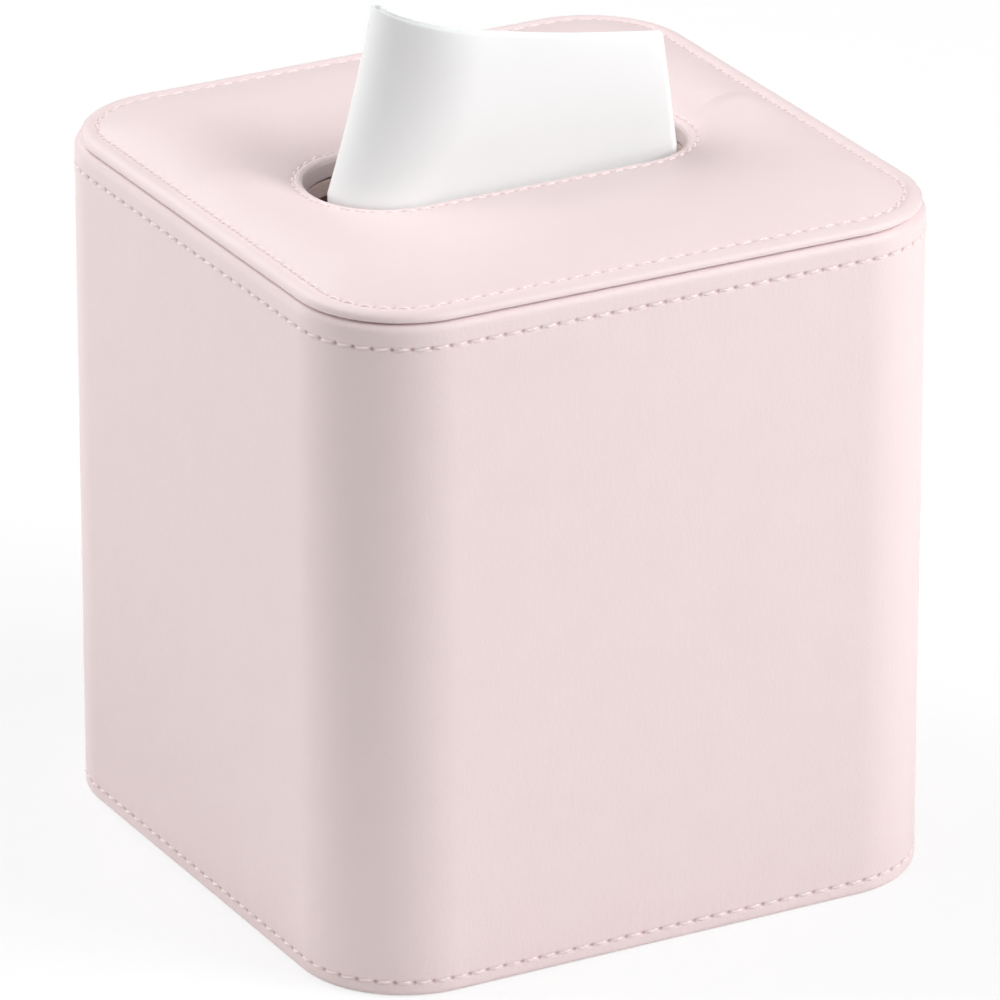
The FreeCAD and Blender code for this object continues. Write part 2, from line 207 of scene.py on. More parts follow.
def makeStudio():
    # The paper is cut out under the cover, where nothing but a look from below can see it
    reach, columns = studio["floorSize"] / 2, studio["floorColumns"]
    shares = np.arange(columns) / columns
    cutOut = loopPlaces(studio["cutHalf"], studio["cutHalf"], studio["cutRadius"], shares)[0]
    border = loopPlaces(reach, reach, studio["cutRadius"], shares)[0]
    points = [(x, y, 0) for x, y in np.concatenate([border, cutOut])]
    following = [(i + 1) % columns for i in range(columns)]
    faces = [(i, k, k + columns, i + columns) for i, k in enumerate(following)]
    floor = meshObject("floor", points, faces, smooth=False)
    paper, tree = newMaterial("matt white paper")
    # The camera looks through part of the paper into the white behind it: the paper is pale, the shadow stays
    # on it and the open flap shows below it. From below the paper is clear
    seen = addNode(tree, "ShaderNodeLightPath").outputs["Is Camera Ray"]
    below = addNode(tree, "ShaderNodeNewGeometry").outputs["Backfacing"]
    matt = addNode(tree, "ShaderNodeBsdfDiffuse", inputs={"Color": linear(studio["floorColour"])})
    clear = addNode(tree, "ShaderNodeBsdfTransparent", inputs={"Color": (1, 1, 1, 1)})
    partly = addNode(tree, "ShaderNodeMath", {"operation": "MULTIPLY"}, {0: seen, 1: studio["floorClear"]})
    share = addNode(tree, "ShaderNodeMath", {"operation": "MAXIMUM"}, {0: partly, 1: below})
    both = addNode(tree, "ShaderNodeMixShader", inputs={0: share, 1: matt, 2: clear})
    addNode(tree, "ShaderNodeOutputMaterial", inputs={"Surface": both})
    useMaterial(floor, paper)

    world = bpy.data.worlds.new("studio")
    world.use_nodes = True
    tree = world.node_tree
    tree.nodes.clear()
    rays = addNode(tree, "ShaderNodeLightPath")
    white = (1, 1, 1, 1)
    lit, seen = (addNode(tree, "ShaderNodeBackground", inputs={"Color": white, "Strength": studio[level]})
                 for level in ("worldLevel", "seenLevel"))
    both = addNode(tree, "ShaderNodeMixShader", inputs={0: rays.outputs["Is Camera Ray"], 1: lit, 2: seen})
    addNode(tree, "ShaderNodeOutputWorld", inputs={"Surface": both})
    bpy.context.scene.world = world

    for name in ("rightHigh", "backLow", "backHigh", "leftOverhead", "frontOverhead"):
        azimuth, height, power = studio[name]
        lamp = bpy.data.lights.new(name, "AREA")
        lamp.shape, lamp.size, lamp.energy = "SQUARE", studio["lampSize"], power
        holder = bpy.data.objects.new(name, lamp)
        swing, tilt = math.radians(azimuth), math.radians(height)
        level = math.cos(tilt)
        towards = Vector((math.sin(swing) * level, -math.cos(swing) * level, math.sin(tilt)))
        holder.location = Vector(studio["lampAim"]) + towards * studio["lampDistance"]
        holder.rotation_mode = "QUATERNION"
        holder.rotation_quaternion = towards.to_track_quat("Z", "Y")
        bpy.context.scene.collection.objects.link(holder)
    bpy.context.scene.view_settings.view_transform = "Standard"


makeCamera()
makeStudio()
print("camera and studio made")


# Materials

leatherData = {
    "colour": "#ead8d8",
    "deep": "#e3cfce",
    # The uncoated split's colour, also used as painted shade down in the needle holes
    "splitCoreAndShade": "#b48e88",
    "pebble": 0.55 * mm,
    "pebbleHeight": 0.022 * mm,
    "crease": 0.75 * mm,
    "creaseStretch": 0.3,
    "creaseHeight": 0.03 * mm,
    "cloud": 9.0 * mm,
    "cloudShare": 0.18,
    "pebbleSmoothness": 0.6,
    "noiseRange": (0.3, 0.7),
    "roughness": (0.41, 0.54),
    "ior": 1.48,
}


def coatedLeather():
    d = leatherData
    # Split leather with a pink polyurethane coat, embossed by a grain roller and softly finished:
    # a satin skin with fine pebbles, faint creases that run up the hide, and slow changes of tone
    material, tree = newMaterial("coated pink leather")
    place = addNode(tree, "ShaderNodeTexCoord").outputs["Object"]
    least, most = d["noiseRange"]
    pebbles = addNode(tree, "ShaderNodeTexVoronoi", {"feature": "SMOOTH_F1"},
                      {"Vector": place, "Scale": 1 / d["pebble"], "Smoothness": d["pebbleSmoothness"]})
    stretched = addNode(tree, "ShaderNodeMapping",
                        inputs={"Vector": place, "Scale": (1, 1, d["creaseStretch"])})
    creases = addNode(tree, "ShaderNodeTexNoise", {},
                      {"Vector": stretched, "Scale": 1 / d["crease"], "Detail": 3.0})
    clouds = addNode(tree, "ShaderNodeTexNoise", {}, {"Vector": place, "Scale": 1 / d["cloud"], "Detail": 2.0})
    share = addNode(tree, "ShaderNodeMapRange", {}, {
        "Value": clouds, "From Min": least, "From Max": most,
        "To Min": 0.0, "To Max": d["cloudShare"]})
    tone = addNode(tree, "ShaderNodeMix", {"data_type": "RGBA"},
                   {0: share, 6: linear(d["colour"]), 7: linear(d["deep"])})
    # Where a needle went through, the hole shows the darker uncoated split, and the same darkening also stands
    # in as painted shade inside the hole
    pierced = addNode(tree, "ShaderNodeAttribute", {"attribute_name": "pierced"})
    holes = addNode(tree, "ShaderNodeMix", {"data_type": "RGBA"},
                    {0: pierced.outputs["Fac"], 6: tone.outputs[2], 7: linear(d["splitCoreAndShade"])})
    gloss = addNode(tree, "ShaderNodeMapRange", {}, {
        "Value": creases, "From Min": least, "From Max": most,
        "To Min": d["roughness"][0], "To Max": d["roughness"][1]})
    wide = addNode(tree, "ShaderNodeBump", {},
                   {"Height": creases, "Strength": 1.0, "Distance": d["creaseHeight"]})
    fine = addNode(tree, "ShaderNodeBump", {}, {
        "Height": pebbles, "Strength": 1.0, "Distance": d["pebbleHeight"],
        "Normal": wide})
    surface = addNode(tree, "ShaderNodeBsdfPrincipled", {}, {
        "Base Color": holes.outputs[2], "Roughness": gloss, "IOR": d["ior"],
        "Normal": fine})
    addNode(tree, "ShaderNodeOutputMaterial", inputs={"Surface": surface})
    return material


# Woven or twisted finishes: tones are those between and on the bands
bandedData = {
    # Bonded polyester sewing thread, three plies twisted: pale, a soft sheen and a fine diagonal lay
    "bonded polyester thread": {
        "direction": "DIAGONAL", "band": 2.2 * mm, "distortion": 0.4, "tones": ("#ebd9d8", "#f6e9e8"),
        "strength": 0.6, "height": 0.04 * mm, "roughness": 0.5, "sheen": 0.15,
    },
    # Woven polyester ribbon: ribs across it a millimetre apart, drawn in along the ribbon's own length
    "grosgrain ribbon": {
        "direction": "Y", "band": 6.3 * mm, "distortion": 0.0, "tones": ("#d9b6b4", "#edd2d0"),
        "strength": 1.0, "height": 0.1 * mm, "roughness": 0.55, "sheen": 0.3,
    },
}


def finishCloth(tree, d, share, height):
    # Two tones mixed by the share, a fine relief from the height, and a sheen
    tone = addNode(tree, "ShaderNodeMix", {"data_type": "RGBA"},
                   {0: share, 6: linear(d["tones"][0]), 7: linear(d["tones"][1])})
    relief = addNode(tree, "ShaderNodeBump", {},
                     {"Height": height, "Strength": d["strength"], "Distance": d["height"]})
    surface = addNode(tree, "ShaderNodeBsdfPrincipled", {}, {
        "Base Color": tone.outputs[2], "Roughness": d["roughness"], "Sheen Weight": d["sheen"],
        "Normal": relief})
    addNode(tree, "ShaderNodeOutputMaterial", inputs={"Surface": surface})


def bandedMaterial(name):
    d = bandedData[name]
    material, tree = newMaterial(name)
    place = addNode(tree, "ShaderNodeTexCoord").outputs["Object"]
    bands = addNode(tree, "ShaderNodeTexWave", {"bands_direction": d["direction"]},
                    {"Vector": place, "Scale": 1 / d["band"], "Distortion": d["distortion"]})
    finishCloth(tree, d, bands.outputs["Fac"], bands.outputs["Fac"])
    return material


tissueLook = {
    "colour": "#fdffff",
    "rib": 0.9 * mm,
    "ribStretch": (0.35, 0.35, 1),
    "ribHeight": 0.02 * mm,
    "letThrough": 0.12,
}


def facialTissue():
    # Two-ply facial tissue, creped on the dryer: matt white, lets light through, faint cross ribs
    d = tissueLook
    material, tree = newMaterial("creped facial tissue")
    place = addNode(tree, "ShaderNodeTexCoord").outputs["Object"]
    squeezed = addNode(tree, "ShaderNodeMapping", inputs={"Vector": place, "Scale": d["ribStretch"]})
    ribs = addNode(tree, "ShaderNodeTexNoise", {},
                   {"Vector": squeezed, "Scale": 1 / d["rib"], "Detail": 3.0})
    relief = addNode(tree, "ShaderNodeBump", {},
                     {"Height": ribs, "Strength": 1.0, "Distance": d["ribHeight"]})
    front, through = (addNode(tree, kind, inputs={"Color": linear(d["colour"]), "Normal": relief})
                      for kind in ("ShaderNodeBsdfDiffuse", "ShaderNodeBsdfTranslucent"))
    both = addNode(tree, "ShaderNodeMixShader", inputs={0: d["letThrough"], 1: front, 2: through})
    addNode(tree, "ShaderNodeOutputMaterial", inputs={"Surface": both})
    return material


# Pressed or brushed fibres, told apart by the fibre's size, tone and nap
fibreData = {
    "pressed greyboard": {
        "fibre": 0.7 * mm, "tones": ("#b9b2a6", "#a39b8e"), "strength": 1.0, "height": 0.03 * mm,
        "roughness": 0.85, "sheen": 0.0,
    },
    "brushed flannelette": {
        "fibre": 0.35 * mm, "tones": ("#efd9d3", "#e0c0b9"), "strength": 1.0, "height": 0.08 * mm,
        "roughness": 0.9, "sheen": 0.4,
    },
    "cut polyether foam": {
        "fibre": 0.8 * mm, "tones": ("#efe9d8", "#ddd3bb"), "strength": 1.0, "height": 0.15 * mm,
        "roughness": 0.95, "sheen": 0.0,
    },
}


def fibreMaterial(name):
    d = fibreData[name]
    material, tree = newMaterial(name)
    place = addNode(tree, "ShaderNodeTexCoord").outputs["Object"]
    fibres = addNode(tree, "ShaderNodeTexNoise", {},
                     {"Vector": place, "Scale": 1 / d["fibre"], "Detail": 5.0, "Roughness": 0.65})
    share = addNode(tree, "ShaderNodeMapRange", {}, {"Value": fibres, "From Min": 0.35, "From Max": 0.65})
    finishCloth(tree, d, share, fibres)
    return material


plateData = {
    "colour": "#c9c6c0",
    "ripple": 1.5 * mm,
    "roughness": (0.14, 0.32),
}


def nickelPlate():
    # Sintered neodymium bars with bright nickel plating: a slightly uneven mirror
    d = plateData
    material, tree = newMaterial("bright nickel plate")
    place = addNode(tree, "ShaderNodeTexCoord").outputs["Object"]
    ripple = addNode(tree, "ShaderNodeTexNoise", {}, {"Vector": place, "Scale": 1 / d["ripple"], "Detail": 2.0})
    gloss = addNode(tree, "ShaderNodeMapRange", {},
                    {"Value": ripple, "To Min": d["roughness"][0], "To Max": d["roughness"][1]})
    surface = addNode(tree, "ShaderNodeBsdfPrincipled", {}, {
        "Base Color": linear(d["colour"]), "Metallic": 1.0, "Roughness": gloss})
    addNode(tree, "ShaderNodeOutputMaterial", inputs={"Surface": surface})
    return material


leather = coatedLeather()
thread = bandedMaterial("bonded polyester thread")
greyboard = fibreMaterial("pressed greyboard")
flannelette = fibreMaterial("brushed flannelette")
cutFoam = fibreMaterial("cut polyether foam")
nickel = nickelPlate()
ribbon = bandedMaterial("grosgrain ribbon")
tissuePaper = facialTissue()
print("materials made")


# Stitch rows by Geometry Nodes

stitchData = {
    "threadRadius": 0.27 * mm,
    "lengthShare": 0.72,
    "arch": 0.08 * mm,
    "sink": 0.40 * mm,
    "lean": math.radians(9.0),
    "unevenness": 0.05,
    "seed": 7,
    "archSteps": 7,
    "threadSides": 8,
    "pathSteps": 8,
}


def newTree(name, sockets):
    # A tree with a geometry in and out, and its other inputs by name and kind
    tree = bpy.data.node_groups.new(name, "GeometryNodeTree")
    for label, kind in {"Geometry": "Geometry", **sockets}.items():
        tree.interface.new_socket(label, in_out="INPUT", socket_type="NodeSocket" + kind)
    tree.interface.new_socket("Geometry", in_out="OUTPUT", socket_type="NodeSocketGeometry")
    return tree, addNode(tree, "NodeGroupInput").outputs


def stitchTree():
    tree, given = newTree("stitch row", {
        "Places": "Int", "Thread radius": "Float", "Stitch length": "Float", "Arch": "Float", "Sink": "Float",
        "Lean": "Float", "Unevenness": "Float", "Thread": "Material"})

    # One thread segment along X: an arch that dives into the leather at both ends
    halfLength = addNode(tree, "ShaderNodeMath", {"operation": "MULTIPLY"}, {0: given["Stitch length"], 1: 0.5})
    leftEnd = addNode(tree, "ShaderNodeMath", {"operation": "MULTIPLY"}, {0: halfLength, 1: -1.0})
    low = addNode(tree, "ShaderNodeMath", {"operation": "MULTIPLY"}, {0: given["Sink"], 1: -1.0})
    twiceArch = addNode(tree, "ShaderNodeMath", {"operation": "MULTIPLY"}, {0: given["Arch"], 1: 2.0})
    crest = addNode(tree, "ShaderNodeMath", {"operation": "ADD"}, {0: twiceArch, 1: given["Sink"]})
    start = addNode(tree, "ShaderNodeCombineXYZ", inputs={"X": leftEnd, "Z": low})
    middle = addNode(tree, "ShaderNodeCombineXYZ", inputs={"Z": crest})
    end = addNode(tree, "ShaderNodeCombineXYZ", inputs={"X": halfLength, "Z": low})
    arch = addNode(tree, "GeometryNodeCurveQuadraticBezier", inputs={
        "Resolution": stitchData["archSteps"], "Start": start, "Middle": middle, "End": end})
    circle = addNode(tree, "GeometryNodeCurvePrimitiveCircle", {"mode": "RADIUS"},
                     {"Resolution": stitchData["threadSides"], "Radius": given["Thread radius"]})
    segment = addNode(tree, "GeometryNodeCurveToMesh",
                      inputs={"Curve": arch, "Profile Curve": circle, "Fill Caps": True})

    # Holes lie at the even places of the row and a stitch at each odd one
    row = addNode(tree, "GeometryNodeMeshToCurve", inputs={"Mesh": given["Geometry"]})
    spaced = addNode(tree, "GeometryNodeResampleCurve", {"mode": "COUNT"},
                     {"Curve": row, "Count": given["Places"]})
    index = addNode(tree, "GeometryNodeInputIndex")
    odd = addNode(tree, "ShaderNodeMath", {"operation": "MODULO"}, {0: index, 1: 2.0})
    facing = addNode(tree, "GeometryNodeInputNamedAttribute", {"data_type": "FLOAT_VECTOR"},
                     {"Name": "facing"})
    tangent = addNode(tree, "GeometryNodeInputTangent")
    turned = addNode(tree, "FunctionNodeAxesToRotation", {"primary_axis": "Z", "secondary_axis": "X"},
                     {0: facing, 1: tangent})
    least = addNode(tree, "ShaderNodeMath", {"operation": "MULTIPLY"}, {0: given["Unevenness"], 1: -1.0})
    chance = addNode(tree, "FunctionNodeRandomValue", {"data_type": "FLOAT"},
                     {2: least, 3: given["Unevenness"], "Seed": stitchData["seed"]})
    leaning = addNode(tree, "ShaderNodeMath", {"operation": "ADD"}, {0: given["Lean"], 1: chance.outputs[1]})
    twist = addNode(tree, "FunctionNodeAxisAngleToRotation", inputs={"Axis": (0, 0, 1), "Angle": leaning})
    posed = addNode(tree, "FunctionNodeRotateRotation", {"rotation_space": "LOCAL"}, {0: turned, 1: twist})
    widths = addNode(tree, "ShaderNodeMath", {"operation": "ADD"}, {0: chance.outputs[1], 1: 1.0})
    sizes = addNode(tree, "ShaderNodeCombineXYZ", inputs={"X": widths, "Y": 1.0, "Z": 1.0})
    sewn = addNode(tree, "GeometryNodeInstanceOnPoints", inputs={
        "Points": spaced, "Selection": odd, "Instance": segment, "Rotation": posed, "Scale": sizes})
    real = addNode(tree, "GeometryNodeRealizeInstances", inputs={"Geometry": sewn})
    smooth = addNode(tree, "GeometryNodeSetShadeSmooth", inputs={"Geometry": real})
    coloured = addNode(tree, "GeometryNodeSetMaterial", inputs={"Geometry": smooth, "Material": given["Thread"]})
    addNode(tree, "NodeGroupOutput", inputs={"Geometry": coloured})
    return tree


def runTree(source, tree, name, values):
    # Runs a tree on an object with its inputs set by socket identifier, and keeps the result as a plain mesh
    modifier = source.modifiers.new(name, "NODES")
    modifier.node_group = tree
    names = {item.name: item.identifier for item in tree.interface.items_tree if item.in_out == "INPUT"}
    for label, value in values.items():
        modifier[names[label]] = value
    bpy.context.view_layer.update()
    evaluated = source.evaluated_get(bpy.context.evaluated_depsgraph_get())
    mesh = bpy.data.meshes.new_from_object(evaluated)
    mesh.name = name
    made = bpy.data.objects.new(name, mesh)
    bpy.context.scene.collection.objects.link(made)
    bpy.data.objects.remove(source)
    return made


def pathMesh(name, points, attributes, closed=True):
    count = len(points)
    edges = [(i, (i + 1) % count) for i in range(count if closed else count - 1)]
    path = meshObject(name, points, edges=edges, smooth=False)
    for label, values in attributes.items():
        values = np.asarray(values, np.float32)
        kind, part = ("FLOAT_VECTOR", "vector") if values.ndim == 2 else ("FLOAT", "value")
        path.data.attributes.new(label, kind, "POINT").data.foreach_set(part, values.ravel())
    return path


stitching = stitchTree()


def sewLoop(name, node, loop, height, stitches, body, facing=None, start=0.0, middleY=0.0):
    # A closed stitch row; facing is None where the thread lies on the wall and looks outwards
    steps = stitches * stitchData["pathSteps"]
    shares = start + np.arange(steps) / steps
    places, outwards = loopPlaces(*loop, shares, middleY)
    looks = np.column_stack([outwards, np.zeros(steps)]) if facing is None else np.tile(facing, (steps, 1))
    path = pathMesh(name + "Path", atHeight(places, height).tolist(), {"facing": looks})
    finishRow(name, node, path, stitches * 2, loopLength(*loop) / stitches, body)


def finishRow(name, node, path, places, pitch, body):
    row = runTree(path, stitching, name, {
        "Places": places,
        "Thread radius": stitchData["threadRadius"],
        "Stitch length": pitch * stitchData["lengthShare"],
        "Arch": stitchData["arch"],
        "Sink": stitchData["sink"],
        "Lean": stitchData["lean"],
        "Unevenness": stitchData["unevenness"],
        "Thread": thread,
    })
    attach(row, body)
    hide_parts(node)


# A band: a section swept round a rounded rectangle by Geometry Nodes, with its needle holes pressed in

bandData = {
    "faceDepth": 0.75 * mm,
    "far": 1.0,
    "holeRadius": 0.36 * mm,
    # How far the needle holes darken the leather's colour: the split's own tone and painted shade in the holes
    "holeCoreAndShadeTone": 0.75,
    "reliefSize": 26 * mm,
}


def bandTree():
    tree, given = newTree("swept band", {
        "Section": "Object", "Hole depth": "Float", "Hole radius": "Float", "Hole core and shade tone": "Float",
        "Relief height": "Float", "Relief size": "Float", "Finish": "Material"})
    rail = addNode(tree, "GeometryNodeMeshToCurve", inputs={"Mesh": given["Geometry"]})
    upright = addNode(tree, "GeometryNodeSetCurveNormal", {"mode": "Z_UP"}, {"Curve": rail})
    outline = addNode(tree, "GeometryNodeObjectInfo", inputs={"Object": given["Section"]})
    section = addNode(tree, "GeometryNodeMeshToCurve", inputs={"Mesh": outline.outputs["Geometry"]})
    insideOut = addNode(tree, "GeometryNodeCurveToMesh", inputs={"Curve": upright, "Profile Curve": section})
    swept = addNode(tree, "GeometryNodeFlipFaces", inputs={"Mesh": insideOut})

    holeRun, rowRun, seamDepth, outside = (
        addNode(tree, "GeometryNodeInputNamedAttribute", {"data_type": "FLOAT"}, {"Name": label})
        for label in ("holeRun", "rowRun", "seamDepth", "outside"))
    along = addNode(tree, "ShaderNodeMath", {"operation": "MULTIPLY"}, {0: holeRun, 1: holeRun})
    apart = addNode(tree, "ShaderNodeMath", {"operation": "MULTIPLY_ADD"}, {0: rowRun, 1: rowRun, 2: along})
    wide = addNode(tree, "ShaderNodeMath", {"operation": "MULTIPLY"},
                   {0: given["Hole radius"], 1: given["Hole radius"]})
    spread = addNode(tree, "ShaderNodeMath", {"operation": "DIVIDE"}, {0: apart, 1: wide})
    fading = addNode(tree, "ShaderNodeMath", {"operation": "MULTIPLY"}, {0: spread, 1: -1.0})
    shape = addNode(tree, "ShaderNodeMath", {"operation": "EXPONENT"}, {0: fading})
    dip = addNode(tree, "ShaderNodeMath", {"operation": "MULTIPLY"}, {0: shape, 1: given["Hole depth"]})
    seam = addNode(tree, "ShaderNodeMath", {"operation": "MULTIPLY_ADD"}, {0: seamDepth, 1: outside, 2: dip})
    finer = addNode(tree, "ShaderNodeMath", {"operation": "DIVIDE"}, {0: 1.0, 1: given["Relief size"]})
    place = addNode(tree, "GeometryNodeInputPosition")
    swell = addNode(tree, "ShaderNodeTexNoise", {}, {"Vector": place, "Scale": finer, "Detail": 1.0})
    even = addNode(tree, "ShaderNodeMath", {"operation": "SUBTRACT"}, {0: swell, 1: 0.5})
    rise = addNode(tree, "ShaderNodeMath", {"operation": "MULTIPLY"}, {0: even, 1: given["Relief height"]})
    shown = addNode(tree, "ShaderNodeMath", {"operation": "MULTIPLY"}, {0: rise, 1: outside})
    total = addNode(tree, "ShaderNodeMath", {"operation": "SUBTRACT"}, {0: shown, 1: seam})
    normal = addNode(tree, "GeometryNodeInputNormal")
    push = addNode(tree, "ShaderNodeVectorMath", {"operation": "SCALE"}, {0: normal, "Scale": total})
    # The hole shape is stored as a darkening of the colour: partly the uncoated split, partly painted shade in
    # the needle holes
    coreAndShade = addNode(tree, "ShaderNodeMath", {"operation": "MULTIPLY"}, {0: shape, 1: given["Hole core and shade tone"]})
    marked = addNode(tree, "GeometryNodeStoreNamedAttribute", {"data_type": "FLOAT", "domain": "POINT"},
                     {"Geometry": swept, "Name": "pierced", "Value": coreAndShade})
    pressed = addNode(tree, "GeometryNodeSetPosition", inputs={"Geometry": marked, "Offset": push})
    smooth = addNode(tree, "GeometryNodeSetShadeSmooth", inputs={"Geometry": pressed})
    real = addNode(tree, "GeometryNodeRealizeInstances", inputs={"Geometry": smooth})
    coloured = addNode(tree, "GeometryNodeSetMaterial", inputs={"Geometry": real, "Material": given["Finish"]})
    addNode(tree, "NodeGroupOutput", inputs={"Geometry": coloured})
    return tree


bandSweep = bandTree()


def arcPoints(centre, radius, first, last, steps):
    # Points of an arc in a section: outward place and height
    turns = np.radians(np.linspace(first, last, steps + 1))
    return [(centre[0] + radius * math.cos(t), centre[1] + radius * math.sin(t)) for t in turns]


def sweepBand(name, loop, shares, section, rowHeights, seamDepth, stitches, reliefSpan, holeDepth, relief,
              finish):
    # rowHeights are the stitch rows' heights on its face, and seamDepth the channels that run down it
    phase = (shares - shares[0]) * stitches
    holeRun = np.abs(phase - np.round(phase)) * loopLength(*loop) / stitches
    places = loopPlaces(*loop, shares)[0]
    rail = pathMesh(name + "Rail", atHeight(places, 0).tolist(), {"holeRun": holeRun, "seamDepth": seamDepth})
    section = np.asarray(section)
    onFace = section[:, 0] > -bandData["faceDepth"]
    rowRun = np.full(len(section), bandData["far"])
    for height in rowHeights:
        near = np.abs(section[:, 1] - height)
        rowRun = np.where(onFace, np.minimum(rowRun, near), rowRun)
    outside = onFace & (section[:, 1] > reliefSpan[0]) & (section[:, 1] < reliefSpan[1])
    # A section's height is its profile's -Y, because the rail runs anticlockwise
    profile = pathMesh(name + "Section", [(o, -z, 0) for o, z in section],
                       {"rowRun": rowRun, "outside": outside.astype(float)})
    band = runTree(rail, bandSweep, name, {
        "Section": profile,
        "Hole depth": holeDepth,
        "Hole radius": bandData["holeRadius"],
        "Hole core and shade tone": bandData["holeCoreAndShadeTone"],
        "Relief height": relief,
        "Relief size": bandData["reliefSize"],
        "Finish": finish,
    })
    bpy.data.objects.remove(profile)
    return band


print("stitch and band trees made")


# Wall leather

wallLow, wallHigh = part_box("wall_leather")
topRow, baseRow = (sum(corner.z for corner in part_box(node)) / 2
                   for node in ("wall_top_stitches", "wall_base_stitches"))

wallData = {
    "loop": ((wallHigh.x - wallLow.x) / 2, (wallHigh.y - wallLow.y) / 2, 21.7 * mm),
    "height": wallHigh.z,
    "skin": 0.8 * mm,
    "board": 2.5 * mm,
    "turnIn": 12.0 * mm,
    "topRim": 2.1 * mm,
    "baseRim": 1.1 * mm,
    "insideRim": 0.5 * mm,
    "grooveDepth": 0.12 * mm,
    "grooveHalf": 0.75 * mm,
    "grooveSteps": 13,
    "stitches": 130,
    "perStitch": 8,
    "crowd": 0.62,
    "holeDepth": 0.30 * mm,
    "jointDepth": 0.5 * mm,
    "jointHalf": 0.2 * mm,
    "backRowOffset": 3.0 * mm,
    "backStitches": 33,
    "threadSunk": 0.11 * mm,
    "faceRows": 24,
    "relief": 0.22 * mm,
    "reliefMargin": 0.9 * mm,
}


def grooveRows(centre, d):
    return [(-d["grooveDepth"] * math.cos(s * math.pi / 2) ** 2, centre + s * d["grooveHalf"])
            for s in np.linspace(-1, 1, d["grooveSteps"])]


def wallSection():
    d = wallData
    inside = -(2 * d["skin"] + d["board"])
    backed = -(d["skin"] + d["board"])
    section = arcPoints((-d["baseRim"], d["baseRim"]), d["baseRim"], -90, 0, 6)
    section += grooveRows(baseRow, d)
    faceLow, faceHigh = baseRow + d["grooveHalf"], topRow - d["grooveHalf"]
    section += [(0.0, z) for z in np.linspace(faceLow, faceHigh, d["faceRows"] + 2)[1:-1]]
    section += grooveRows(topRow, d)
    top = d["height"]
    section += arcPoints((-d["topRim"], top - d["topRim"]), d["topRim"], 0, 90, 8)
    section += arcPoints((inside + d["insideRim"], top - d["insideRim"]), d["insideRim"], 90, 180, 4)
    section += [(inside, top - d["turnIn"] * 0.5), (inside, top - d["turnIn"] - d["skin"])]
    section += [(backed, top - d["turnIn"] - d["skin"]), (backed, top - d["skin"])]
    section += [(-d["skin"], top - d["skin"])]
    section += [(-d["skin"], d["skin"]), (backed, d["skin"]), (backed, d["turnIn"] + d["skin"])]
    section += [(inside, d["turnIn"] + d["skin"]), (inside, d["turnIn"] * 0.5)]
    section += arcPoints((inside + d["insideRim"], d["insideRim"]), d["insideRim"], 180, 270, 4)
    return section


def makeWall():
    d = wallData
    # The rows start at the back joint, where the leather's two ends meet
    backJoint = 0.25
    shares = crowdedShares(d["stitches"], d["perStitch"], d["crowd"], backJoint)
    places = loopPlaces(*d["loop"], shares)[0]
    atBack = places[:, 1] > d["loop"][1] - d["skin"]
    joint = d["jointDepth"] * np.exp(-(places[:, 0] / d["jointHalf"]) ** 2)
    row = np.abs(places[:, 0] - d["backRowOffset"]) / d["grooveHalf"]
    channel = d["grooveDepth"] * np.cos(np.clip(row, 0, 1) * math.pi / 2) ** 2
    seamDepth = np.where(atBack, joint + channel, 0)
    reliefSpan = baseRow + d["reliefMargin"], topRow - d["reliefMargin"]
    wrap = sweepBand("wallLeatherWrap", d["loop"], shares, wallSection(), (baseRow, topRow), seamDepth,
                     d["stitches"], reliefSpan, d["holeDepth"], d["relief"], leather)
    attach(wrap, "cover")
    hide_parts("wall_leather")

    sunkLoop = grown(d["loop"], -d["threadSunk"])
    for name, node, height in (("wallTopRow", "wall_top_stitches", topRow),
                               ("wallBaseRow", "wall_base_stitches", baseRow)):
        sewLoop(name, node, sunkLoop, height, d["stitches"], "cover", start=backJoint)

    # The row beside the back joint
    low, high = (corner.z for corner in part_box("back_seam_stitches"))
    count = d["backStitches"]
    points = [(d["backRowOffset"], sunkLoop[1], z) for z in np.linspace(low, high, count * 4 + 1)]
    path = pathMesh("backSeamPath", points, {"facing": np.tile((0, 1, 0), (len(points), 1))}, closed=False)
    finishRow("backSeamRow", "back_seam_stitches", path, count * 2 + 1, (high - low) / count, "cover")


makeWall()
print("wall leather and its rows made")


# Padded top panel

panelLow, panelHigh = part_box("panel_leather")
trimLow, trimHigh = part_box("opening_trim")

